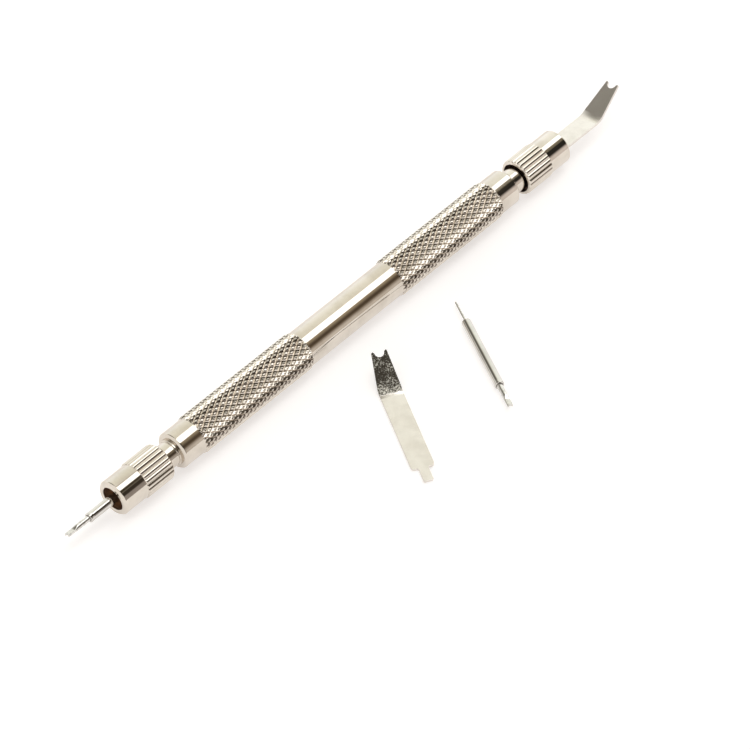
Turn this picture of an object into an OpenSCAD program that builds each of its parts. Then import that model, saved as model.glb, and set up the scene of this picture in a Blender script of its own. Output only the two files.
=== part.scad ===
// Spring bar tool: a knurled handle with a clamp nut and a slit collet at each end.
// One end holds a double-ended pin tip, the other a wide bent fork blade.
// A spare pin tip and a spare blade lie beside the tool.
// The tool lies along X with its blade at +X. The origin is the middle of the handle, on its axis.

/* [Handle] */
// Length of the handle between its end faces
handle_len = 86; // [76:1:100]
// Diameter of the plain end bands and of the plain middle
bar_d = 7; // [6.6:0.1:8]
// Diameter over the crests of the two knurled grips
knurl_d = 7.5; // [7.2:0.1:8.6]
// Length of each plain end band
end_band = 4.7; // [2:0.1:8]
// Length of the plain middle
middle_band = 23; // [10:1:30]
// Chamfer at each end of the handle
end_chamfer = 0.4; // [0.1:0.1:0.6]

/* [Necks] */
// Diameter of the shank pressed into the handle
shank_d = 4.4; // [4:0.1:4.8]
// Length of the pressed shank
shank_len = 8; // [7:0.5:12]
// Diameter of the seating collar
collar_d = 5.2; // [5:0.1:6]
// Thickness of the seating collar
collar_t = 0.5; // [0.3:0.1:0.8]
// Diameter of the plain neck
neck_d = 4.7; // [4.3:0.1:5]
// Crest diameter of the screw thread
thread_d = 5; // [4.9:0.05:5]
// Distance from the handle to the start of the thread
thread_start = 3.9; // [3.5:0.1:4]
// Distance from the handle to the front face of the neck
neck_len = 5.6; // [5.2:0.1:5.8]

/* [Collets] */
// Diameter of the guiding tail
tail_d = 2.9; // [2.6:0.1:3.1]
// Length of the tail inside the neck
tail_len = 9.7; // [8:0.1:10]
// Diameter of the jaws
jaw_d = 4.9; // [4.6:0.05:4.9]
// Length of the parallel stretch of the jaws
jaw_len = 4.4; // [4:0.1:5]
// Length of the tapered front of the jaws
taper_len = 1.9; // [1.5:0.1:1.9]
// Diameter of the jaws at their front face
jaw_front_d = 4.1; // [3.6:0.1:4.1]
// Width of the crossed slots
slot_w = 0.55; // [0.55:0.01:0.6]
// How far behind the jaws the slots run into the tail
slot_tail = 3.2; // [3.1:0.1:4]

/* [Clamp nuts] */
// Gap between the handle and the nut when it is tight
nut_gap = 2.7; // [2.5:0.1:2.9]
// Length of the nut
nut_len = 11.5; // [11:0.1:14]
// Length of the fluted grip
flute_len = 6.2; // [4:0.1:8]
// Diameter over the flutes
flute_d = 7.1; // [6.9:0.1:8]
// Diameter of the plain nose
nose_d = 6.7; // [6.2:0.1:7]
// Number of flutes
flute_count = 22; // [16:1:28]
// Diameter of the front mouth
mouth_d = 4.5; // [4.4:0.05:4.6]
// Chamfer of the front edge
nose_chamfer = 0.4; // [0.2:0.1:0.6]

/* [Pin tips] */
// Diameter of the sleeve
sleeve_d = 1.75; // [1.6:0.05:1.75]
// Length of the sleeve
sleeve_len = 16.1; // [14:0.1:18]
// How far the sleeve stands out of the nut
sleeve_out = 5.6; // [4:0.1:8]
// Diameter of the fork pin
fork_pin_d = 1.1; // [0.9:0.05:1.15]
// Length of the fork pin outside its sleeve
fork_pin_out = 5.1; // [3:0.1:6]
// Thickness of the fork pin between its ground flats
fork_pin_t = 0.5; // [0.4:0.05:0.6]
// Diameter of the point pin
point_pin_d = 0.45; // [0.35:0.05:0.6]
// Length of the point pin outside its sleeve
point_pin_out = 5.1; // [3:0.1:5.2]

/* [Blades] */
// Width of the blade
blade_w = 4.2; // [3.6:0.1:4.2]
// Thickness of the blade
blade_t = 0.5; // [0.4:0.05:0.5]
// Length of the straight stretch from the shoulders to the bend
blade_straight = 16.9; // [14:0.1:22]
// Length of the bent end
blade_bent = 6.8; // [6:0.1:9]
// Angle of the bent end
bend_angle = 27.9; // [15:0.1:40]
// Width across the two prongs
prong_w = 2.8; // [2.4:0.1:3]
// Width of the round notch between the prongs
notch_w = 1.8; // [1.6:0.1:2.3]
// Depth of the notch between the prongs
notch_depth = 1.1; // [0.8:0.1:1.4]
// Width of the tail tab
tab_w = 1.8; // [1.4:0.1:2]
// Length of the tail tab
tab_len = 3; // [2:0.1:3]
// Turn of the clamped blade about the axis of the tool
blade_roll = -10.9; // [-45:0.1:45]

/* [Hidden] */
$fn = 64;

pin_side = -1;
blade_side = 1;
cut = 1;                    // how far cutting shapes run past what they cut
nickel = [0.80, 0.78, 0.73];
brass = [0.72, 0.56, 0.34];
blade_colour = [0.84, 0.81, 0.74];

// handle
half_len = handle_len / 2;
grip_start = middle_band / 2;
grip_end = half_len - end_band;
knurl_bevel = 0.5;

// neck, collet and nut, as distances from the end face of the handle
tail_bore_d = tail_d + 0.1;
tail_bore_depth = 6;
jaw_start = neck_len;
jaw_end = jaw_start + jaw_len;
collet_end = jaw_end + taper_len;
collet_start = jaw_start - tail_len;
nut_start = nut_gap;
nut_end = nut_start + nut_len;
flute_end = nut_start + flute_len;
thread_bore_d = thread_d + 0.1;
counterbore_d = 5.8;
counterbore_depth = 1.2;
cone_start = jaw_end - 0.2;
cone_end = cone_start + 2;
flute_cut_r = 0.36;
flute_cut_at = nose_d / 2 + 0.01 + flute_cut_r;
rear_chamfer = 0.3;

// pin tip
bore_d = sleeve_d + 0.05;
sleeve_mouth_d = 1.35;
sleeve_mouth_depth = 1;
pin_inside = 4;
fork_pin_flat = 2.1;
fork_notch_d = 0.7;
fork_pin_roll = -12;
tip_mouth_x = -(half_len + nut_end + sleeve_out);

// blade
shoulder_r = 0.7;
bend_r = 4;
bend_steps = 8;
blade_shoulder_x = half_len + jaw_start + 0.1;

// spares on the table that the grips lie on
table_z = -knurl_d / 2;
spare_blade_turn = 60;
spare_blade_at = [-14.9, -31.8];
spare_tip_turn = 62.5;
spare_tip_at = [7.6, -29.3];

// Stands a shape drawn along +Z on the end face of the handle, pointing outwards
module at_end(side) {
    translate([side * half_len, 0, 0])
        rotate([0, side * 90, 0])
            children();
}

module bar_along_z(r, from, to) {
    translate([0, 0, from])
        cylinder(r = r, h = to - from);
}

// Outline of one half of the handle, from its middle to its end face
half_outline = [
    [bar_d / 2, grip_start],
    [knurl_d / 2, grip_start + knurl_bevel],
    [knurl_d / 2, grip_end - knurl_bevel],
    [bar_d / 2, grip_end],
    [bar_d / 2, half_len - end_chamfer],
    [bar_d / 2 - end_chamfer, half_len],
    [0, half_len],
];

module handle() {
    last = len(half_outline) - 1;
    color(nickel)
        difference() {
            rotate([0, 90, 0])
                rotate_extrude()
                    polygon(concat(
                        half_outline,
                        [for (i = [last : -1 : 0]) [half_outline[i][0], -half_outline[i][1]]]
                    ));
            for (side = [pin_side, blade_side])
                at_end(side)
                    bar_along_z(shank_d / 2, -shank_len, cut);
        }
}

// Stud pressed into the handle: its thread carries the nut and its bore guides the collet
module neck(side) {
    color(nickel)
        at_end(side)
            difference() {
                union() {
                    bar_along_z(shank_d / 2, -shank_len, 0);
                    bar_along_z(collar_d / 2, 0, collar_t);
                    bar_along_z(neck_d / 2, 0, neck_len);
                    bar_along_z(thread_d / 2, thread_start, neck_len);
                }
                bar_along_z(tail_bore_d / 2, -tail_bore_depth, neck_len + cut);
            }
}

// Jaws slit by two crossed slots, so that four jaws close on a round sleeve or on a flat blade
module collet(side) {
    color(brass)
        at_end(side)
            difference() {
                union() {
                    bar_along_z(tail_d / 2, collet_start, jaw_start);
                    bar_along_z(jaw_d / 2, jaw_start, jaw_end);
                    translate([0, 0, jaw_end])
                        cylinder(d1 = jaw_d, d2 = jaw_front_d, h = taper_len);
                }
                bar_along_z(bore_d / 2, collet_start - cut, collet_end + cut);
                for (turn = [0, 90])
                    rotate([0, 0, side * blade_roll + turn])
                        translate([-slot_w / 2, -jaw_d, jaw_start - slot_tail])
                            cube([slot_w, 2 * jaw_d, slot_tail + jaw_len + taper_len + cut]);
            }
}

module nut_profile() {
    nose_r = nose_d / 2;
    polygon([
        [counterbore_d / 2, nut_start],
        [flute_d / 2 - rear_chamfer, nut_start],
        [flute_d / 2, nut_start + rear_chamfer],
        [flute_d / 2, flute_end - 0.1],
        [nose_r, flute_end],
        [nose_r, nut_end - nose_chamfer],
        [nose_r - nose_chamfer, nut_end],
        [mouth_d / 2, nut_end],
        [mouth_d / 2, cone_end],
        [thread_bore_d / 2, cone_start],
        [thread_bore_d / 2, nut_start + counterbore_depth],
        [counterbore_d / 2, nut_start + counterbore_depth],
    ]);
}

module clamp_nut(side) {
    color(nickel)
        at_end(side)
            difference() {
                rotate_extrude()
                    nut_profile();
                for (i = [0 : flute_count - 1])
                    rotate([0, 0, i * 360 / flute_count])
                        translate([flute_cut_at, 0, 0])
                            bar_along_z(flute_cut_r, nut_start - cut, flute_end + flute_cut_r);
            }
}

// A pin tip is drawn with the mouth of its fork end at the origin and its sleeve running back along -X
module sleeve() {
    color(nickel)
        rotate([0, -90, 0])
            difference() {
                bar_along_z(sleeve_d / 2, 0, sleeve_len);
                bar_along_z(sleeve_mouth_d / 2, -cut, sleeve_mouth_depth);
                bar_along_z(fork_pin_d / 2, 0, sleeve_mouth_depth + pin_inside);
                bar_along_z(point_pin_d / 2, sleeve_len - pin_inside, sleeve_len + cut);
            }
}

// Round wire with a flat ground on each face of its end, and a round notch between the prongs
module fork_pin() {
    color(blade_colour)
        difference() {
            rotate([0, 90, 0])
                bar_along_z(fork_pin_d / 2, -sleeve_mouth_depth - pin_inside, fork_pin_out);
            for (face = [0, 1])
                mirror([0, 0, face])
                    translate([fork_pin_out - fork_pin_flat, -fork_pin_d, fork_pin_t / 2])
                        cube([fork_pin_flat + cut, 2 * fork_pin_d, fork_pin_d]);
            translate([fork_pin_out, 0, -fork_pin_d])
                cylinder(d = fork_notch_d, h = 2 * fork_pin_d);
        }
}

module point_pin() {
    color(blade_colour)
        rotate([0, -90, 0]) {
            bar_along_z(point_pin_d / 2, sleeve_len - pin_inside, sleeve_len + point_pin_out - point_pin_d / 2);
            translate([0, 0, sleeve_len + point_pin_out - point_pin_d / 2])
                sphere(d = point_pin_d);
        }
}

// A blade is drawn with the middle of its shoulders at the origin and its prongs towards +X, bent upwards.
// Points of the bend at a given distance from its centre, for the angles listed
function bend_points(r, angles) = [for (a = angles) [blade_straight + r * sin(a), bend_r - r * cos(a)]];

// The end of the bent stretch, at a height above or below the middle of the sheet
function bent_end(height) = [
    blade_straight + (bend_r - height) * sin(bend_angle) + blade_bent * cos(bend_angle),
    bend_r - (bend_r - height) * cos(bend_angle) + blade_bent * sin(bend_angle),
];

module bent_strip() {
    half_t = blade_t / 2;
    angles = [for (i = [0 : bend_steps]) i * bend_angle / bend_steps];
    back = [for (i = [bend_steps : -1 : 0]) i * bend_angle / bend_steps];
    rotate([90, 0, 0])
        translate([0, 0, -blade_w / 2])
            linear_extrude(blade_w)
                polygon(concat(
                    [[0, -half_t]],
                    bend_points(bend_r + half_t, angles),
                    [bent_end(-half_t), bent_end(half_t)],
                    bend_points(bend_r - half_t, back),
                    [[0, half_t]]
                ));
}

// What is ground off the corner of a shoulder
module shoulder_corner() {
    translate([-cut, blade_w / 2 - shoulder_r, -blade_t])
        linear_extrude(2 * blade_t)
            difference() {
                square([shoulder_r + cut, shoulder_r + cut]);
                translate([shoulder_r + cut, 0])
                    circle(r = shoulder_r);
            }
}

// What is ground off beside the prongs and between them, in the plane of the bent stretch
module prong_cuts() {
    notch_r = notch_w / 2;
    slope = (blade_w - prong_w) / 2 / blade_bent;
    for (side = [0, 1])
        mirror([0, side])
            polygon([
                [0, blade_w / 2],
                [blade_bent + cut, prong_w / 2 - slope * cut],
                [blade_bent + cut, blade_w],
                [0, blade_w],
            ]);
    translate([blade_bent - notch_depth + notch_r, 0])
        circle(r = notch_r);
}

module blade() {
    color(blade_colour) {
        difference() {
            bent_strip();
            for (side = [0, 1])
                mirror([0, side])
                    shoulder_corner();
            translate([blade_straight + bend_r * sin(bend_angle), 0, bend_r * (1 - cos(bend_angle))])
                rotate([0, -bend_angle, 0])
                    translate([0, 0, -blade_t])
                        linear_extrude(2 * blade_t)
                            prong_cuts();
        }
        translate([-tab_len, -tab_w / 2, -blade_t / 2])
            cube([tab_len, tab_w, blade_t]);
    }
}

// The clamped tip points its fork along -X
module clamped_tip() {
    translate([tip_mouth_x, 0, 0])
        rotate([fork_pin_roll, 0, 0])
            rotate([0, 0, 180])
                children();
}

module clamped_blade() {
    translate([blade_shoulder_x, 0, 0])
        rotate([blade_roll, 0, 0])
            children();
}

// The spare tip lies with its fork towards -Y
module spare_tip_place() {
    translate([spare_tip_at[0], spare_tip_at[1], table_z + sleeve_d / 2])
        rotate([0, 0, spare_tip_turn + 180])
            children();
}

module spare_blade_place() {
    translate([spare_blade_at[0], spare_blade_at[1], table_z + blade_t / 2])
        rotate([0, 0, spare_blade_turn])
            children();
}

module pin_end_neck() { neck(pin_side); }
module blade_end_neck() { neck(blade_side); }
module pin_end_collet() { collet(pin_side); }
module blade_end_collet() { collet(blade_side); }
module pin_end_nut() { clamp_nut(pin_side); }
module blade_end_nut() { clamp_nut(blade_side); }
module tip_sleeve() { clamped_tip() sleeve(); }
module tip_fork_pin() { clamped_tip() fork_pin(); }
module tip_point_pin() { clamped_tip() point_pin(); }
module fork_blade() { clamped_blade() blade(); }
module spare_blade() { spare_blade_place() blade(); }
module spare_sleeve() { spare_tip_place() sleeve(); }
module spare_fork_pin() { spare_tip_place() fork_pin(); }
module spare_point_pin() { spare_tip_place() point_pin(); }

handle();
pin_end_neck();
blade_end_neck();
pin_end_collet();
blade_end_collet();
pin_end_nut();
blade_end_nut();
tip_sleeve();
tip_fork_pin();
tip_point_pin();
fork_blade();
spare_blade();
spare_sleeve();
spare_fork_pin();
spare_point_pin();
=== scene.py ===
import math

import bmesh
import bpy
from mathutils import Matrix, Vector


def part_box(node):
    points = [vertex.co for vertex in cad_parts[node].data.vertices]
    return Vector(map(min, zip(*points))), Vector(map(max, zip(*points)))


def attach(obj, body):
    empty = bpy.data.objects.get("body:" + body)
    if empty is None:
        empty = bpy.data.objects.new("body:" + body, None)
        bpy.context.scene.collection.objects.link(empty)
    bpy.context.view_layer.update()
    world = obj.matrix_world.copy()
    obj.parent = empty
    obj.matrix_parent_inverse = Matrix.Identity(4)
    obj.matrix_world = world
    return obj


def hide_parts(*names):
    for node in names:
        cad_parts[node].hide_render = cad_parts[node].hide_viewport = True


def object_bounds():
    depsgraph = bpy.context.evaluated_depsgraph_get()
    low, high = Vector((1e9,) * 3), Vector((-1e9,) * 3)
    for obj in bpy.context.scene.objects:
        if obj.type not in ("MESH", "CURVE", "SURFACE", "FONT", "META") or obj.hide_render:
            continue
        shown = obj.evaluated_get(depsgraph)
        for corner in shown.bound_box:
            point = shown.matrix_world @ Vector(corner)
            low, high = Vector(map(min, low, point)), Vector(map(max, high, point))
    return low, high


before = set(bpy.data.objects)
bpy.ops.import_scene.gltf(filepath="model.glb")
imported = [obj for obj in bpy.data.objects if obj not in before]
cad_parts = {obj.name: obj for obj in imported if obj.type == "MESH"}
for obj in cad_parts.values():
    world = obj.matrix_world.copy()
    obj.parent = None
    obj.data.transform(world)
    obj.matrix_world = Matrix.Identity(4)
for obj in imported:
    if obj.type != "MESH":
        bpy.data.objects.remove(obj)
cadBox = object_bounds()

mm = 0.001                  # every piece is drawn in millimetres and made in metres
pinSide, bladeSide = -1, 1
print("stage: frame loaded")


class Signal:
    # a node's output that can stand in a sum
    def __init__(self, recipe, socket):
        self.recipe = recipe
        self.socket = socket

    def __add__(self, other):
        return self.recipe.sum("ADD", self, other)

    def __sub__(self, other):
        return self.recipe.sum("SUBTRACT", self, other)

    def __rsub__(self, other):
        return self.recipe.sum("SUBTRACT", other, self)

    def __mul__(self, other):
        return self.recipe.sum("MULTIPLY", self, other)

    def __truediv__(self, other):
        return self.recipe.sum("DIVIDE", self, other)

    def __rtruediv__(self, other):
        return self.recipe.sum("DIVIDE", other, self)

    __radd__ = __add__
    __rmul__ = __mul__

    def ramp(self, low, high):
        # 0 below low, 1 above high and smooth between them
        limits = {"Value": self, "From Min": low, "From Max": high}
        return self.recipe.node("ShaderNodeMapRange", {"interpolation_type": "SMOOTHSTEP"}, limits)


class Recipe:
    def __init__(self, tree):
        self.tree = tree
        tree.nodes.clear()

    def node(self, kind, settings=None, sockets=None, output=0):
        made = self.tree.nodes.new(kind)
        for key, value in (settings or {}).items():
            if key == "stops":
                self.setStops(made.color_ramp, value)
            else:
                setattr(made, key, value)
        for key, value in (sockets or {}).items():
            if isinstance(value, Signal):
                self.tree.links.new(value.socket, made.inputs[key])
            else:
                made.inputs[key].default_value = value
        return Signal(self, made.outputs[output]) if made.outputs else made

    def setStops(self, ramp, stops):
        while len(ramp.elements) < len(stops):
            ramp.elements.new(0.5)
        for element, (place, colour) in zip(ramp.elements, stops):
            element.position = place
            element.color = (*colour, 1)

    def sum(self, operation, a, b):
        return self.node("ShaderNodeMath", {"operation": operation}, {0: a, 1: b})

    def blend(self, mask, a, b):
        # colour a where the mask is 0 and colour b where it is 1
        a, b = [c if isinstance(c, Signal) else (*c, 1) for c in (a, b)]
        return self.node("ShaderNodeMix", {"data_type": "RGBA"}, {0: mask, 6: a, 7: b}, 2)

    def along(self, stretch, shift):
        # the piece's own millimetres, stretched and shifted
        place = self.node("ShaderNodeTexCoord", None, None, "Object")
        vectors = {0: place, 1: tuple(s / mm for s in stretch), 2: shift}
        return self.node("ShaderNodeVectorMath", {"operation": "MULTIPLY_ADD"}, vectors)

    def noise(self, stretch, detail, roughness, shift=(0, 0, 0)):
        # the stretch is in grains a millimetre, one number or one along each axis
        stretches = stretch if isinstance(stretch, tuple) else (stretch,) * 3
        place = self.along(stretches, shift)
        sockets = {"Vector": place, "Scale": 1, "Detail": detail, "Roughness": roughness}
        return self.node("ShaderNodeTexNoise", None, sockets)

    def attribute(self, name):
        return self.node("ShaderNodeAttribute", {"attribute_name": name}, None, "Fac")


def newMaterial(name):
    material = bpy.data.materials.new(name)
    material.use_nodes = True
    return material, Recipe(material.node_tree)


def finishMaterial(recipe, colour, roughness, height):
    # every piece is metal; the height is in millimetres
    relief = recipe.node("ShaderNodeBump", None, {"Height": height, "Strength": 1, "Distance": mm})
    sockets = {"Base Color": colour, "Roughness": roughness, "Metallic": 1, "Normal": relief}
    surface = recipe.node("ShaderNodeBsdfPrincipled", None, sockets)
    recipe.node("ShaderNodeOutputMaterial", None, {"Surface": surface})


insideBore, insideMouth = 2, 3          # what "grooveDepth" is inside a bore and inside the mouth of a nut, where the material paints shade

nickelLook = {
    "bright": (0.70, 0.645, 0.575),
    "dull": (0.60, 0.545, 0.475),
    "dullFrom": (0.35, 0.72),           # where the cloudy noise turns dull
    "grooveDirt": (0.20, 0.165, 0.12),
    "dirtStrength": 0.36,
    # painted shade: near black colour for the inside of the bores
    "paintedBoreShade": (0.12, 0.075, 0.06),
    "paintedBoreShadeStrength": 0.92,
    # painted shade: brown colour for the inside of a nut's mouth
    "paintedMouthShade": (0.46, 0.33, 0.25),
    "polish": 0.02,
    "ringStretch": (14, 0.15),          # turning marks a millimetre, along the axis and round it
    "turningMarks": 0.0002,             # their depth in millimetres
    "speckDepth": 0.0003,
}
sleeveLook = {"bright": (0.70, 0.68, 0.645), "dull": (0.60, 0.58, 0.55)}


def turnedNickel(name, axis, grooved=False, tint=None):
    # the axis is the letter of the one that the piece was turned about
    look = {**nickelLook, **(tint or {})}
    material, recipe = newMaterial(name)
    alongAxis, roundAxis = look["ringStretch"]
    rings = recipe.noise(tuple(alongAxis if letter == axis else roundAxis for letter in "XYZ"), 4, 0.65)
    clouds = recipe.noise(0.22, 4, 0.55)
    specks = recipe.noise(5, 2, 0.6, (3, 7, 1)).ramp(0.66, 0.74)
    colour = recipe.blend(clouds.ramp(*look["dullFrom"]), look["bright"], look["dull"])
    colour = recipe.blend(specks * 0.35, colour, look["dull"])
    roughness = look["polish"] + clouds * 0.03 + rings * 0.02 + specks * 0.10
    if grooved:             # the depth is 0 on a crest and 1 at the bottom of a groove
        depth = recipe.attribute("grooveDepth")
        dirt = depth.ramp(0.55, 1.0) * recipe.noise(1.4, 3, 0.6).ramp(0.3, 0.65)
        # painted shade: inside a bore the colour turns near black
        inside = depth.ramp(insideBore - 0.8, insideBore - 0.2)
        # painted shade: inside the mouth of a nut the colour turns brown
        mouth = depth.ramp(insideMouth - 0.8, insideMouth - 0.2)
        colour = recipe.blend(dirt * look["dirtStrength"], colour, look["grooveDirt"])
        colour = recipe.blend(inside * look["paintedBoreShadeStrength"], colour, look["paintedBoreShade"])
        colour = recipe.blend(mouth, colour, look["paintedMouthShade"])
        roughness = roughness + dirt * 0.2 + inside * 0.25
    height = rings * look["turningMarks"] - specks * look["speckDepth"]
    finishMaterial(recipe, colour, roughness, height)
    return material


brassLook = {
    "bright": (0.66, 0.46, 0.24),
    "dull": (0.30, 0.19, 0.10),
    "polish": 0.24,
    "turningMarks": 0.0015,
}


def tarnishedBrass():
    look = brassLook
    material, recipe = newMaterial("tarnishedBrass")
    stains = recipe.noise(1.1, 4, 0.6)
    rings = recipe.noise((12, 0.3, 0.3), 3, 0.6)
    colour = recipe.blend(stains.ramp(0.38, 0.7), look["bright"], look["dull"])
    roughness = look["polish"] + stains * 0.2
    finishMaterial(recipe, colour, roughness, rings * look["turningMarks"])
    return material


bladeLook = {
    "bright": (0.78, 0.745, 0.70),
    "dull": (0.70, 0.66, 0.61),
    "polish": 0.18,
    "grainStretch": (0.25, 16, 1),      # long scratches, 16 across each millimetre of width
    "grainDepth": 0.0012,
}
groundLook = {
    "bright": (0.85, 0.82, 0.73),
    "dark": (0.05, 0.043, 0.034),
    "polish": 0.34,
    "pitDepth": 0.11,
    "sparkleFrom": (0.49, 0.80),        # how much of the dark ground face glints
    "fadeOver": 2.6,                    # it glints more in this many millimetres after the bend
    "ragged": 0.9,                      # how far its edge wanders
}


def groundSheet(name, roughTip):
    # sheet steel with its grain lengthwise; the spare blade has coarse ground prongs
    look = bladeLook
    material, recipe = newMaterial(name)
    grain = recipe.noise(look["grainStretch"], 4, 0.7)
    clouds = recipe.noise(0.3, 3, 0.5)
    colour = recipe.blend(clouds.ramp(0.3, 0.75), look["bright"], look["dull"])
    roughness = look["polish"] + grain * 0.10
    height = grain * look["grainDepth"]
    along = recipe.attribute("alongBlade")
    groundFrom = bladeSize["groundFrom"]
    edge = along + (recipe.noise(1.3, 3, 0.6) - 0.5) * groundLook["ragged"]
    ground = edge.ramp(groundFrom, groundFrom + 0.25)
    if roughTip:
        pits = recipe.noise(3.8, 3, 0.7, (2, 5, 9))
        patches = recipe.noise(0.42, 2, 0.5, (4, 1, 6))
        nearBend = 1 - along.ramp(groundFrom, groundFrom + groundLook["fadeOver"])
        sparkle = (pits + (patches - 0.5) * 0.3 + nearBend * 0.13).ramp(*groundLook["sparkleFrom"])
        groundColour = recipe.blend(sparkle, groundLook["dark"], groundLook["bright"])
        colour = recipe.blend(ground, colour, groundColour)
        roughness = roughness + ground * (groundLook["polish"] - look["polish"])
        height = height + ground * pits * groundLook["pitDepth"]
    else:
        colour = recipe.blend(ground * 0.35, colour, look["dull"])
        roughness = roughness + ground * 0.08
    finishMaterial(recipe, colour, roughness, height)
    return material


pinLook = {"bright": (0.76, 0.745, 0.715), "dull": (0.54, 0.53, 0.50), "polish": 0.16, "grainDepth": 0.0015}


def drawnWire():
    look = pinLook
    material, recipe = newMaterial("drawnWire")
    grain = recipe.noise((1.2, 9, 9), 3, 0.6)
    stain = recipe.noise(1.5, 3, 0.6)
    colour = recipe.blend(stain.ramp(0.4, 0.7), look["bright"], look["dull"])
    finishMaterial(recipe, colour, look["polish"] + grain * 0.12, grain * look["grainDepth"])
    return material


floorLook = {
    "sheet": (0.60, 0.59, 0.585),
    "cloud": (0.58, 0.57, 0.565),
    "roughness": 0.85,
    "glow": (1.0, 0.975, 0.965),
    "glowStrength": 0.58,
}


def paleFloor():
    # a lit table: it glows a little, so that only faint shadows fall on it
    look = floorLook
    material, recipe = newMaterial("paleFloor")
    clouds = recipe.noise(0.05, 2, 0.5)
    colour = recipe.blend(clouds.ramp(0.3, 0.7), look["sheet"], look["cloud"])
    sockets = {
        "Base Color": colour,
        "Roughness": look["roughness"],
        "Emission Color": (*look["glow"], 1),
        "Emission Strength": look["glowStrength"],
    }
    surface = recipe.node("ShaderNodeBsdfPrincipled", None, sockets)
    recipe.node("ShaderNodeOutputMaterial", None, {"Surface": surface})
    return material


def meshPiece(name, vertices, faces, material, attributes=None, creaseAngle=40):
    mesh = bpy.data.meshes.new(name)
    mesh.from_pydata([Vector(v) * mm for v in vertices], [], faces)
    for key, values in (attributes or {}).items():
        layer = mesh.attributes.new(key, "FLOAT", "POINT")
        layer.data.foreach_set("value", values)
    solid = bmesh.new()
    solid.from_mesh(mesh)
    bmesh.ops.recalc_face_normals(solid, faces=solid.faces)
    solid.to_mesh(mesh)
    solid.free()
    mesh.polygons.foreach_set("use_smooth", [True] * len(mesh.polygons))
    mesh.set_sharp_from_angle(angle=math.radians(creaseAngle))
    mesh.materials.append(material)
    piece = bpy.data.objects.new(name, mesh)
    bpy.context.scene.collection.objects.link(piece)
    weights = piece.modifiers.new("faceWeights", "WEIGHTED_NORMAL")
    weights.weight = 60         # wide faces win over the narrow rounded edges
    weights.keep_sharp = True
    return piece


def roundedProfile(corners, defaultRound=0.06, steps=3):
    # corners are (z, r) or (z, r, rounding); every inner corner becomes a small arc
    points = [(c[0], c[1]) for c in corners]
    rounds = [c[2] if len(c) > 2 else defaultRound for c in corners]
    made = [points[0]]
    for before, here, after, size in zip(points, points[1:], points[2:], rounds[1:]):
        a, p, b = Vector(before), Vector(here), Vector(after)
        toA, toB = (a - p), (b - p)
        turn = toA.angle(toB)
        if size <= 0 or abs(turn - math.pi) < 0.02:
            made.append(here)
            continue
        reach = min(size / math.tan(turn / 2), 0.45 * toA.length, 0.45 * toB.length)
        start, end = p + toA.normalized() * reach, p + toB.normalized() * reach
        for i in range(steps + 1):
            t = i / steps
            made.append(tuple(start * (1 - t) ** 2 + p * 2 * t * (1 - t) + end * t ** 2))
    made.append(points[-1])
    return guarded(made)


def guarded(points, gap=0.05):
    # a ring close to each end of a long stretch keeps its shading flat
    made = [points[0]]
    for a, b in zip(points, points[1:]):
        stretch = math.dist(a, b)
        if stretch > 6 * gap:
            for t in (gap / stretch, 1 - gap / stretch):
                made.append((a[0] + (b[0] - a[0]) * t, a[1] + (b[1] - a[1]) * t))
        made.append(b)
    return made


def turnedPiece(name, rings, steps, material, loop=False, axis="Z", knurls=(), creaseAngle=40):
    # rings are (z, radii, depths), with one radius and one depth or a list of them, and radius 0 closes
    # the end; knurls says from which ring to which the faces are cut along the grooves of a knurl
    vertices, depths, faces, starts = [], [], [], []
    for z, radius, depth in rings:
        starts.append(len(vertices))
        if radius == 0:
            vertices.append((0, 0, z))
            depths.append(0.0)
            continue
        for j in range(steps):
            angle = 2 * math.pi * j / steps
            r = radius[j] if isinstance(radius, list) else radius
            vertices.append((r * math.cos(angle), r * math.sin(angle), z))
            depths.append(depth[j] if isinstance(depth, list) else float(depth))
    count = len(rings)
    for i in range(count if loop else count - 1):
        near, far = i, (i + 1) % count
        for j in range(steps):
            k = (j + 1) % steps
            a, b = starts[near] + j, starts[near] + k
            c, d = starts[far] + k, starts[far] + j
            if rings[near][1] == 0:
                faces.append((starts[near], c, d))
            elif rings[far][1] == 0:
                faces.append((a, b, starts[far]))
            elif any(grip[0] <= i < grip[1] for grip in knurls):
                first = next(grip[0] for grip in knurls if grip[0] <= i < grip[1])
                faces += knurlTriangles(a, b, c, d, i - first, j)
            else:
                faces.append((a, b, c, d))
    if axis == "X":
        vertices = [(z, y, -x) for x, y, z in vertices]
    return meshPiece(name, vertices, faces, material, {"grooveDepth": depths}, creaseAngle)


def knurlTriangles(a, b, c, d, i, j):
    # the cut follows the groove that crosses the square
    if (i + j + 1) % perDiamond == perDiamond // 2:
        return [(a, b, d), (b, c, d)]
    return [(a, b, c), (a, c, d)]


def plainRings(corners):
    return [(z, r, 0) for z, r in roundedProfile(corners)]


def centreOfBox(low, high):
    return (low + high) / 2


def placeOn(piece, turn, node, body):
    # the piece is turned, then its box is centred on the box of the node that it stands for
    corners = [turn @ v.co for v in piece.data.vertices]
    low = Vector([min(c[i] for c in corners) for i in range(3)])
    high = Vector([max(c[i] for c in corners) for i in range(3)])
    shift = centreOfBox(*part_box(node)) - centreOfBox(low, high)
    piece.matrix_world = Matrix.Translation(shift) @ turn
    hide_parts(node)
    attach(piece, body)


def outwards(side):
    # local Z points away from the handle at that end
    return Matrix.Rotation(side * math.pi / 2, 4, "Y")


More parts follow.
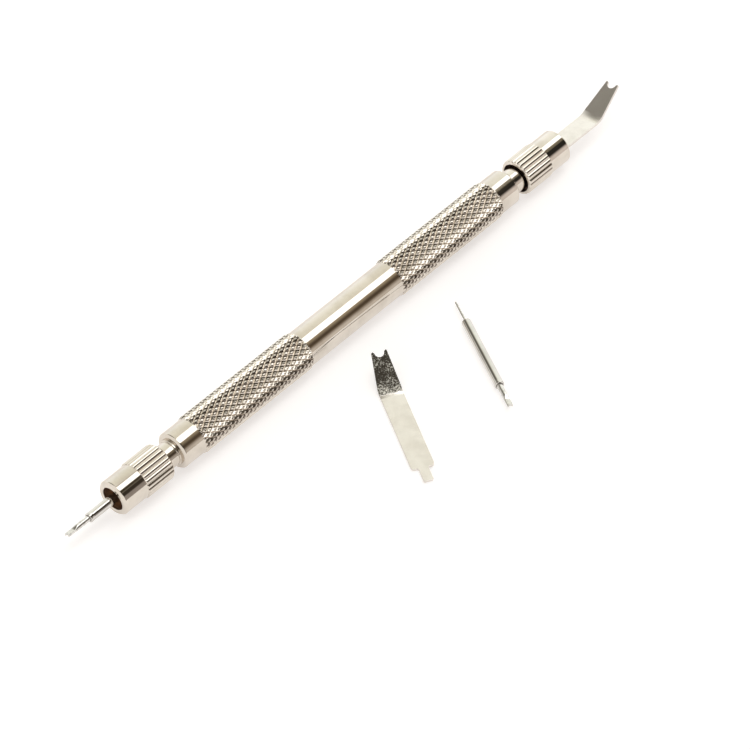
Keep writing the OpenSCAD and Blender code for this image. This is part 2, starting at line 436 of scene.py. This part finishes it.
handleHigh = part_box("handle")[1] / mm
halfLength = handleHigh.x
perDiamond = 8              # grid squares across one diamond of the knurl
handleSize = {
    "bar": 3.5,                 # radius of the plain bands
    "crest": handleHigh.z,      # radius over the knurl
    "groove": 3.46,             # radius at the bottom of the knurl grooves
    "gripFrom": 11.5,
    "gripTo": halfLength - 4.7,
    "starts": 22,
    "rows": 15.5,               # diamonds along one grip
    "facet": 25,                # degrees between facets that stay crisp
    "bevel": 0.5,
    "grooveRunIn": 0.3,         # length over which the grooves deepen at each end of a grip
    "blunt": 0.64,              # where the diamonds are cut off
    "seatRadius": 2.2,
    "seatDepth": 8,
    "seatRound": 0.05,
    "chamfer": 0.4,
    "chamferRound": 0.22,
    "gap": 0.05,                # from the last ring of a grip to the first of a plain band
}


def ridge(turns):
    # 1 at each whole turn and 0 half way between
    return 1 - 2 * abs(turns - round(turns))


def knurlRings(size, fromX, toX):
    # two crossing sets of grooves leave blunt diamonds
    count = round(size["rows"] * perDiamond)
    steps = size["starts"] * perDiamond
    rings = []
    for i in range(count + 1):
        x = fromX + (toX - fromX) * i / count
        inside = min(x - fromX, toX - x)
        crest = size["bar"] + (size["crest"] - size["bar"]) * min(1, inside / size["bevel"])
        groove = size["bar"] + (size["groove"] - size["bar"]) * min(1, inside / size["grooveRunIn"])
        radii, depths = [], []
        for j in range(steps):
            crossed = min(ridge((i + j) / perDiamond), ridge((j - i) / perDiamond))
            height = min(crossed, size["blunt"]) / size["blunt"]
            full = size["groove"] + (size["crest"] - size["groove"]) * height
            radii.append(max(groove, min(full, crest)))
            depths.append(1 - height)
        rings.append((x, radii, depths))
    return rings


def makeHandle(material):
    size = handleSize
    steps = size["starts"] * perDiamond
    bar, seat, chamfer, gap = size["bar"], size["seatRadius"], size["chamfer"], size["gap"]
    bottom = halfLength - size["seatDepth"]
    rightEnd = plainRings([
        (bottom, seat),
        (halfLength, seat, size["seatRound"]),
        (halfLength, bar - chamfer, size["chamferRound"]),
        (halfLength - chamfer, bar, size["chamferRound"]),
        (size["gripTo"] + gap, bar),
    ])
    leftEnd = [(-z, r, d) for z, r, d in rightEnd]
    leftGrip = knurlRings(size, -size["gripTo"], -size["gripFrom"])
    rightGrip = knurlRings(size, size["gripFrom"], size["gripTo"])
    bandEnd = size["gripFrom"] - gap
    middle = [(x, r, 0) for x, r in guarded([(-bandEnd, bar), (0, bar), (bandEnd, bar)])]
    rings = [(-bottom, 0, 0)] + leftEnd
    knurls = []
    for grip, after in ((leftGrip, middle), (rightGrip, rightEnd[::-1])):
        knurls.append((len(rings), len(rings) + len(grip) - 1))
        rings += grip + after
    rings += [(bottom, 0, 0)]
    piece = turnedPiece("handleBar", rings, steps, material,
                        axis="X", knurls=knurls, creaseAngle=size["facet"])
    placeOn(piece, Matrix.Identity(4), "handle", "handle")


threadPitch = 0.5
ringsPerTurn = 8            # of the thread
neckSize = {
    "shank": 2.2, "shankLength": 8, "shankChamfer": 0.3,
    "collar": 2.6, "collarLength": 0.5, "collarRound": 0.12, "collarRoot": 0.08,
    "neck": 2.35, "length": 5.6,
    "thread": 2.5, "threadFrom": 3.9, "threadDepth": 0.24,
    "threadRunIn": 0.15,        # from the plain neck up to the crests, and from the crests to the front
    "frontChamfer": 0.2,
    "bore": 1.5, "boreDepth": 6, "boreChamfer": 0.1,
    "rounding": 0.05,
    "steps": 96,
}
nutLow, nutHigh = (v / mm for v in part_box("blade_end_nut"))
nutSize = {
    "from": nutLow.x - halfLength, "to": nutHigh.x - halfLength,
    "flutes": 22, "stepsPerFlute": 12,
    "fluteTo": 6.2, "fluteRadius": nutHigh.y,
    "fluteRunOut": 0.12,        # slope from the crests of the flutes down to the nose
    "reedDepth": 0.22, "reedDirt": 0.8,
    "nose": 3.35, "noseChamfer": 0.4, "noseRound": 0.22,
    "mouth": 2.25, "mouthChamfer": 0.1, "mouthRound": 0.04,
    "bore": 2.55, "threadLength": 3, "threadDepth": 0.22,
    "counterbore": 2.9, "counterboreDepth": 1.2,
    "coneFrom": 7.1, "coneTo": 9.1, "coneRound": 0.05,
    "rearChamfer": 0.3, "rearRound": 0.1, "crestRound": 0.15,
}


def threadRings(fromZ, toZ, radius, depth, steps, inside=False):
    # a right-hand thread as rings whose radius climbs one pitch a turn and fades at both ends
    count = round((toZ - fromZ) / threadPitch * ringsPerTurn)
    rings = []
    for i in range(count + 1):
        z = fromZ + (toZ - fromZ) * i / count
        fade = max(0, min(1, (z - fromZ) / threadPitch, (toZ - z) / (0.6 * threadPitch)))
        radii, depths = [], []
        for j in range(steps):
            wave = 1 - ridge(z / threadPitch - j / steps)
            cut = depth * min(1, wave * 1.15) * fade        # the roots are slightly flat
            radii.append(radius + cut if inside else radius - cut)
            depths.append(wave * 0.9)
        rings.append((z, radii, depths))
    return rings


def makeNeck(name, side, node, material):
    size = neckSize
    back, front = -size["shankLength"], size["length"]
    threadFrom, threadTo = size["threadFrom"], front - size["threadRunIn"]
    outer = plainRings([
        (back, size["shank"] - size["shankChamfer"]),
        (back + size["shankChamfer"], size["shank"], 0),
        (0, size["shank"], 0),
        (0, size["collar"], size["rounding"]),
        (size["collarLength"], size["collar"], size["collarRound"]),
        (size["collarLength"], size["neck"], size["collarRoot"]),
        (threadFrom - size["threadRunIn"], size["neck"], size["rounding"]),
        (threadFrom, size["thread"]),
    ])
    thread = threadRings(threadFrom, threadTo, size["thread"], size["threadDepth"], size["steps"])
    mouth = [
        (front, size["thread"] - size["frontChamfer"], 0),
        (front, size["bore"] + size["boreChamfer"], 0),
        (front - size["boreChamfer"], size["bore"], insideBore),
        (-size["boreDepth"], size["bore"], insideBore),
        (-size["boreDepth"], 0, insideBore),
    ]
    rings = [(back, 0, 0)] + outer + thread + mouth
    piece = turnedPiece(name, rings, size["steps"], material)
    placeOn(piece, outwards(side), node, "handle")


def reedRadii(size, ringRadius):
    # rounded ridges with a narrow valley between them
    radii, depths = [], []
    for j in range(size["flutes"] * size["stepsPerFlute"]):
        turn = (j % size["stepsPerFlute"]) / size["stepsPerFlute"]
        across = abs(turn - 0.5) * 2        # 1 in the valley, 0 on the crest
        radii.append(min(ringRadius, size["fluteRadius"] - size["reedDepth"] * across ** 2))
        depths.append(size["reedDirt"] * across ** 4)
    return radii, depths


def makeNut(name, side, node, body, material):
    size = nutSize
    steps = size["flutes"] * size["stepsPerFlute"]
    start, end = size["from"], size["to"]
    fluteTo = start + size["fluteTo"]
    nose, mouth, bore = size["nose"], size["mouth"], size["bore"]
    fluteRadius, rearChamfer, mouthChamfer = size["fluteRadius"], size["rearChamfer"], size["mouthChamfer"]
    fluted = roundedProfile([
        (start, size["counterbore"]),
        (start, fluteRadius - rearChamfer, size["rearRound"]),
        (start + rearChamfer, fluteRadius, size["crestRound"]),
        (fluteTo - size["fluteRunOut"], fluteRadius, 0.08),
        (fluteTo, nose + 0.02),
    ])
    outer = [(z, *reedRadii(size, r)) for z, r in fluted]
    front = plainRings([
        (fluteTo, nose),
        (end - size["noseChamfer"], nose, size["noseRound"]),
        (end, nose - size["noseChamfer"], size["noseRound"]),
        (end, mouth + mouthChamfer, size["mouthRound"]),
        (end - mouthChamfer, mouth, size["mouthRound"]),
    ])
    seat = start + size["counterboreDepth"]
    threadTo = seat + size["threadLength"]
    mouthRings = [(z, r, insideMouth) for z, r in roundedProfile([
        (end - mouthChamfer - 0.15, mouth),
        (start + size["coneTo"], mouth, size["coneRound"]),
        (start + size["coneFrom"], bore, size["coneRound"]),
        (threadTo + 0.1, bore),
    ])]
    thread = threadRings(seat, threadTo, bore, size["threadDepth"], steps, inside=True)
    threadInside = [(z, r, insideBore) for z, r, _ in thread[::-1]]
    rear = [
        (seat, bore + 0.1, insideBore),
        (seat, size["counterbore"], insideBore),
        (start + 0.1, size["counterbore"], insideBore),
    ]
    rings = outer + front + mouthRings + threadInside + rear
    piece = turnedPiece(name, rings, steps, material, loop=True)
    placeOn(piece, outwards(side), node, body)


sleeveLow, sleeveHigh = (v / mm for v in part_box("tip_sleeve"))
tipSize = {
    "sleeve": 0.875, "sleeveLength": sleeveHigh.x - sleeveLow.x,
    "mouth": 0.62, "mouthDepth": 1, "mouthRound": 0.04,
    "lip": 0.10, "flare": 0.03, "flareFrom": 0.35, "flareTo": 0.75, "flareRound": 0.2,
    "backRound": 0.16,          # rounding of the far end of the sleeve, round the point pin
    "backRecess": 0.12,
    "inside": 4,                # how far each pin is pressed in
    "forkPin": 0.55, "forkOut": 5.1,
    "forkWidth": 1.02, "forkThick": 0.5, "forkFlat": 2.1, "forkNotch": 0.35,
    "easeBack": 0.5, "easeLength": 1.2,     # where the round wire turns into the flat end
    "squareness": 0.62,         # 0 leaves the flat end oval and 1 makes it a sharp rectangle
    "pointPin": 0.225, "pointOut": 5.1, "pointTaper": 1.2,
    "steps": 64,
}


def makeSleeve(name, turn, node, body, material):
    size = tipSize
    length, r, depth = size["sleeveLength"], size["sleeve"], size["mouthDepth"]
    wide, recess = r + size["flare"], size["backRecess"]
    profile = roundedProfile([
        (depth, size["forkPin"]),
        (depth, size["mouth"], 0.1),
        (0, size["mouth"], size["mouthRound"]),
        (0, wide, size["lip"]),
        (size["flareFrom"], wide, size["flareRound"]),
        (size["flareTo"], r, size["flareRound"]),
        (length, r, size["backRound"]),
        (length, size["pointPin"] + recess, 0.05),
        (length - recess, size["pointPin"], 0.02),
        (length - size["inside"], size["pointPin"]),
    ])
    rings = []
    for z, radius in profile:
        inMouth = 0 < z < depth + 0.1 and radius < size["mouth"] + 0.08
        rings.append((z, radius, insideBore if inMouth else 0))
    back = [(length - size["inside"], 0, 0)]
    front = [(depth + size["inside"], 0, 0), (depth + size["inside"], size["forkPin"], 0)]
    piece = turnedPiece(name, front + rings + back, size["steps"], material, axis="X")
    placeOn(piece, turn, node, body)


def forkPinSection(size, flatness, steps):
    # one ring of the wire, from a circle at flatness 0 to a rectangle with soft edges at 1
    halfWide = size["forkPin"] + (size["forkWidth"] / 2 - size["forkPin"]) * flatness
    halfThick = size["forkPin"] + (size["forkThick"] / 2 - size["forkPin"]) * flatness
    power = 1 - size["squareness"] * flatness
    points = []
    for j in range(steps):
        angle = 2 * math.pi * (j + 0.5) / steps
        c, s = math.cos(angle), math.sin(angle)
        y = halfWide * math.copysign(abs(c) ** power, c)
        z = halfThick * math.copysign(abs(s) ** power, s)
        points.append((y, z))
    return points


def makeForkPin(name, turn, node, body, material):
    size = tipSize
    steps = size["steps"] // 2
    tip = size["forkOut"]
    easeFrom = tip - size["forkFlat"] - size["easeBack"]
    straightTo = easeFrom + size["easeLength"]      # past it the rings bend round the notch
    stations = [-size["mouthDepth"] - size["inside"], 0, easeFrom]
    stations += [easeFrom + size["easeLength"] * i / 10 for i in range(1, 11)]
    stations += [straightTo + (tip - straightTo) * i / 8 for i in range(1, 9)]
    vertices, faces = [], []
    for x in stations:
        t = min(1, max(0, (x - easeFrom) / size["easeLength"]))
        for y, z in forkPinSection(size, t * t * (3 - 2 * t), steps):
            reach = x
            if x > straightTo:
                notch = math.sqrt(max(0, size["forkNotch"] ** 2 - y * y))
                reach = straightTo + (x - straightTo) * (tip - notch - straightTo) / (tip - straightTo)
            vertices.append((-reach, y, z))
    rows = len(stations)
    for i in range(rows - 1):
        for j in range(steps):
            k = (j + 1) % steps
            faces.append((i * steps + j, i * steps + k, (i + 1) * steps + k, (i + 1) * steps + j))
    faces.append(tuple(range(steps)))
    last = (rows - 1) * steps
    for j in range(steps // 2 - 1):         # the end face joins each upper point to the one below it
        faces.append((last + j, last + j + 1, last + steps - 2 - j, last + steps - 1 - j))
    piece = meshPiece(name, vertices, faces, material)
    placeOn(piece, turn, node, body)


def makePointPin(name, turn, node, body, material):
    size = tipSize
    r = size["pointPin"]
    start, end = size["sleeveLength"] - size["inside"], size["sleeveLength"] + size["pointOut"]
    rings = plainRings([
        (start, r),
        (end - size["pointTaper"], r, 0.2),
        (end - r * 0.75, r * 0.9, 0.1),
        (end, r * 0.45, 0.12),
    ])
    rings = [(start, 0, 0)] + rings + [(end, 0, 0)]
    piece = turnedPiece(name, rings, size["steps"] // 2, material, axis="X")
    placeOn(piece, turn, node, body)


bladeSize = {
    "half": 2.1, "thick": 0.5,
    "straight": 16.9, "bent": 6.8, "bendRadius": 4, "bend": math.radians(27.9),
    "prongHalf": 1.4, "notchRadius": 0.9, "notchDepth": 1.1, "prongRound": 0.2,
    "shoulder": 0.7, "tabHalf": 0.9, "tabLength": 3, "tabRound": 0.25, "relief": 0.16,
    "edge": 0.05,
    "bendCuts": 16,
    "groundFrom": 17.7,         # where the rough grinding of the spare begins
}
bladeLength = bladeSize["straight"] + bladeSize["bendRadius"] * bladeSize["bend"] + bladeSize["bent"]


def arc(centre, radius, fromDegrees, toDegrees, steps):
    angles = [math.radians(fromDegrees + (toDegrees - fromDegrees) * i / steps) for i in range(steps + 1)]
    return [(centre[0] + radius * math.cos(a), centre[1] + radius * math.sin(a)) for a in angles]


def bladeOutline():
    size = bladeSize
    half, tab, tabRound = size["half"], size["tabHalf"], size["tabRound"]
    shoulder, relief = size["shoulder"], size["relief"]
    bendEnd = bladeLength - size["bent"]
    prong, notch, tip = size["prongHalf"], size["notchRadius"], size["prongRound"]
    upper = arc((-size["tabLength"] + tabRound, tab - tabRound), tabRound, 180, 90, 4)
    upper += arc((0, tab), relief, 180, 90, 5)[:-1]
    upper += [(0.02, tab + relief)]
    upper += arc((shoulder, half - shoulder), shoulder, 180, 90, 7)
    upper += [(bendEnd, half)]
    upper += arc((bladeLength - tip, prong - tip), tip, 75, -30, 5)
    upper += arc((bladeLength - size["notchDepth"] + notch, 0), notch, 93, 180, 12)
    lower = [(x, -y) for x, y in upper[:-1]][::-1]
    return upper + lower


def bendUp(u, y, h):
    # a point at u along the flat sheet and h above its middle, after the end is bent
    size = bladeSize
    radius, bend, straight = size["bendRadius"], size["bend"], size["straight"]
    if u <= straight:
        return (u, y, h)
    angle = min(bend, (u - straight) / radius)
    rest = u - straight - angle * radius
    x = straight + (radius - h) * math.sin(angle) + rest * math.cos(angle)
    z = radius - (radius - h) * math.cos(angle) + rest * math.sin(angle)
    return (x, y, z)


def makeBlade(name, turn, node, body, material):
    size = bladeSize
    solid = bmesh.new()
    sheet = solid.faces.new([solid.verts.new((x, y, -size["thick"] / 2)) for x, y in bladeOutline()])
    extruded = bmesh.ops.extrude_face_region(solid, geom=[sheet])["geom"]
    raised = [g for g in extruded if isinstance(g, bmesh.types.BMVert)]
    bmesh.ops.translate(solid, vec=(0, 0, size["thick"]), verts=raised)
    bmesh.ops.recalc_face_normals(solid, faces=solid.faces)
    rims = [e for e in solid.edges if abs(e.verts[0].co.z - e.verts[1].co.z) < 1e-6]
    bmesh.ops.bevel(solid, geom=rims, offset=size["edge"], segments=2, profile=0.5, affect="EDGES")
    bendLength = size["bendRadius"] * size["bend"]
    cuts = [size["straight"] + bendLength * i / size["bendCuts"] for i in range(size["bendCuts"] + 1)]
    cuts += [size["straight"] * i / 6 for i in range(1, 6)]
    cuts += [bladeLength - size["bent"] / 2]
    for u in cuts:          # rows of points for the bend, and a few to keep long faces even
        everything = solid.verts[:] + solid.edges[:] + solid.faces[:]
        bmesh.ops.bisect_plane(solid, geom=everything, plane_co=(u, 0, 0), plane_no=(1, 0, 0))
    solid.verts.index_update()
    along = [v.co.x for v in solid.verts]
    vertices = [bendUp(*v.co) for v in solid.verts]
    faces = [[v.index for v in f.verts] for f in solid.faces]
    solid.free()
    piece = meshPiece(name, vertices, faces, material, {"alongBlade": along})
    placeOn(piece, turn, node, body)


print("stage: materials")
nickelBar = turnedNickel("nickelBar", "X", grooved=True)
nickelTurned = turnedNickel("nickelTurned", "Z", grooved=True)
nickelSleeve = turnedNickel("nickelSleeve", "X", tint=sleeveLook)
wire = drawnWire()
brass = tarnishedBrass()

print("stage: handle, necks and nuts")
makeHandle(nickelBar)
makeNeck("pinEndNeck", pinSide, "pin_end_neck", nickelTurned)
makeNeck("bladeEndNeck", bladeSide, "blade_end_neck", nickelTurned)
makeNut("pinEndNut", pinSide, "pin_end_nut", "pin_nut", nickelTurned)
makeNut("bladeEndNut", bladeSide, "blade_end_nut", "blade_nut", nickelTurned)
for node in ("pin_end_collet", "blade_end_collet"):
    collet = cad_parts[node]
    collet.data.materials.clear()
    collet.data.materials.append(brass)

print("stage: tips")
lying = {                   # degrees about the tool's axis for what is clamped, and about Z for the spares
    "forkRoll": -12,
    "bladeRoll": -10.9,
    "spareTipTurn": 62.5,
    "spareBladeTurn": 60,
}


def turned(key, axis):
    return Matrix.Rotation(math.radians(lying[key]), 4, axis)


for prefix, turn, node, body in (
    ("clamped", turned("forkRoll", "X"), "tip", "pin_tip"),
    ("spare", turned("spareTipTurn", "Z"), "spare", "spare_tip"),
):
    makeSleeve(prefix + "Sleeve", turn, node + "_sleeve", body, nickelSleeve)
    makeForkPin(prefix + "ForkPin", turn, node + "_fork_pin", body, wire)
    makePointPin(prefix + "PointPin", turn, node + "_point_pin", body, wire)

print("stage: blades")
smoothSteel = groundSheet("groundSheet", roughTip=False)
roughSteel = groundSheet("roughGroundSheet", roughTip=True)
makeBlade("clampedBlade", turned("bladeRoll", "X"), "fork_blade", "fork_blade", smoothSteel)
makeBlade("spareBlade", turned("spareBladeTurn", "Z"), "spare_blade", "spare_blade", roughSteel)


def makeFloor():
    half = 4 / mm               # 8 m across
    floorZ = cadBox[0].z / mm
    corners = [(-half, -half, floorZ), (half, -half, floorZ), (half, half, floorZ), (-half, half, floorZ)]
    floor = meshPiece("floor", corners, [(0, 1, 2, 3)], paleFloor())


studio = {
    # what the room shows at each angle from straight overhead towards the near horizon, in degrees,
    # seen by surfaces at the pin end, at the middle and at the blade end
    "pinEnd": [
        (-90, (1.26, 1.30, 1.29)), (-37, (1.07, 1.06, 0.94)), (-13, (0.95, 0.93, 0.84)),
        (-8, (0.42, 0.39, 0.34)), (-4, (2.40, 2.40, 2.36)), (19, (2.40, 2.40, 2.36)),
        (24, (0.07, 0.055, 0.04)), (35, (0.07, 0.06, 0.042)), (39, (0.20, 0.18, 0.15)),
        (44, (0.05, 0.04, 0.03)), (60, (0.05, 0.04, 0.03)), (66, (0.34, 0.30, 0.28)),
        (86, (0.38, 0.34, 0.31)), (90, (0.60, 0.56, 0.52)),
    ],
    "middle": [
        (-90, (1.26, 1.30, 1.29)), (-59, (1.18, 1.18, 1.09)), (-37, (1.07, 1.06, 0.94)),
        (-14, (1.00, 0.98, 0.88)), (-11, (2.40, 2.40, 2.36)), (21, (2.40, 2.40, 2.36)),
        (25, (0.45, 0.37, 0.27)), (33, (0.36, 0.30, 0.21)), (43, (0.16, 0.12, 0.085)),
        (50, (0.098, 0.073, 0.049)), (56, (0.127, 0.095, 0.062)), (62, (0.25, 0.20, 0.155)),
        (68, (0.48, 0.42, 0.355)), (79, (0.75, 0.69, 0.62)),
    ],
    "bladeEnd": [
        (-90, (1.36, 1.42, 1.44)), (-59, (1.30, 1.32, 1.27)), (-37, (1.20, 1.22, 1.13)),
        (-18, (1.14, 1.16, 1.08)), (-15, (2.40, 2.40, 2.36)), (7, (2.40, 2.40, 2.36)),
        (12, (0.30, 0.27, 0.20)), (26, (0.19, 0.17, 0.125)), (31, (0.03, 0.028, 0.024)),
        (55, (0.03, 0.028, 0.024)), (63, (0.46, 0.41, 0.385)), (70, (0.84, 0.77, 0.73)),
    ],
    "pinToMiddle": (0.450, 0.455),          # how far to the right the three meet
    "middleToBlade": (0.52, 0.55),
    "farLeft": (1.15, 1.12, 1.08),          # a pale wall beyond the pin end
    "farLeftBlend": (-0.45, -0.25),
    "shadeTowards": (-0.15, 0.66, 0.735),   # a grey screen on the left, behind the tool
    "shadeColour": (0.19, 0.175, 0.145),
    "shadeEdge": (0.83, 0.985),             # cosines of the angles from its middle
    "standTowards": (-0.50, -0.454, 0.737),     # the dark stand behind the camera
    "standColour": (0.11, 0.095, 0.075),
    "standEdge": (0.89, 0.97),
    "backdrop": (1.0, 1.0, 1.0),
    "brightest": 2.4,                       # colours are shares of it until the light multiplies them
}


def share(colour):
    return [c / studio["brightest"] for c in colour]


def roomByAngle(recipe, towards, stops):
    places = [((angle + 90) / 180, share(colour)) for angle, colour in stops]
    return recipe.node("ShaderNodeValToRGB", {"stops": places}, {"Fac": (towards + 90) / 180})


def makeStudio():
    # a soft strip overhead along the tool, dark screens round it and a pale room; the camera sees white
    world = bpy.data.worlds.new("studio")
    bpy.context.scene.world = world
    world.use_nodes = True
    recipe = Recipe(world.node_tree)
    direction = recipe.node("ShaderNodeTexCoord", None, None, "Generated")
    right, back, up = [recipe.node("ShaderNodeSeparateXYZ", None, {0: direction}, i) for i in range(3)]
    towards = recipe.sum("ARCTAN2", back * -1, up) * (180 / math.pi)    # 0 overhead, 90 near horizon
    rooms = [roomByAngle(recipe, towards, studio[key]) for key in ("pinEnd", "middle", "bladeEnd")]
    pinEnd, middle, bladeEnd = rooms
    colour = recipe.blend(right.ramp(*studio["pinToMiddle"]), pinEnd, middle)
    colour = recipe.blend(right.ramp(*studio["middleToBlade"]), colour, bladeEnd)
    colour = recipe.blend(right.ramp(*studio["farLeftBlend"]), share(studio["farLeft"]), colour)
    for thing in ("shade", "stand"):
        vectors = {0: direction, 1: studio[thing + "Towards"]}
        near = recipe.node("ShaderNodeVectorMath", {"operation": "DOT_PRODUCT"}, vectors, "Value")
        colour = recipe.blend(near.ramp(*studio[thing + "Edge"]), colour, share(studio[thing + "Colour"]))
    seen = recipe.node("ShaderNodeLightPath", None, None, "Is Camera Ray")
    colour = recipe.blend(seen, colour, share(studio["backdrop"]))
    light = recipe.node("ShaderNodeBackground", None, {"Color": colour, "Strength": studio["brightest"]})
    recipe.node("ShaderNodeOutputWorld", None, {"Surface": light})


cameraPlace = {
    "azimuth": -47.75,
    "elevation": 47.5,
    "distance": 666,            # millimetres from the aim
    "aim": (-4.4, -11.2),       # on the floor
    "lens": 184.8,
    "sensor": 36,
}


def makeCamera():
    place = cameraPlace
    camera = bpy.data.objects.new("camera", bpy.data.cameras.new("camera"))
    bpy.context.scene.collection.objects.link(camera)
    azimuth, elevation = math.radians(place["azimuth"]), math.radians(place["elevation"])
    back = Vector((
        math.sin(azimuth) * math.cos(elevation),
        -math.cos(azimuth) * math.cos(elevation),
        math.sin(elevation),
    ))
    aim = Vector((*place["aim"], cadBox[0].z / mm))
    camera.location = (aim + back * place["distance"]) * mm
    camera.rotation_euler = (-back).to_track_quat("-Z", "Y").to_euler()
    camera.data.lens = place["lens"]
    camera.data.sensor_width = place["sensor"]
    camera.data.clip_start, camera.data.clip_end = 0.01, 20
    bpy.context.scene.camera = camera


print("stage: floor, light and camera")
makeFloor()
makeStudio()
makeCamera()
bpy.context.scene.view_settings.view_transform = "Standard"

print("stage: done")
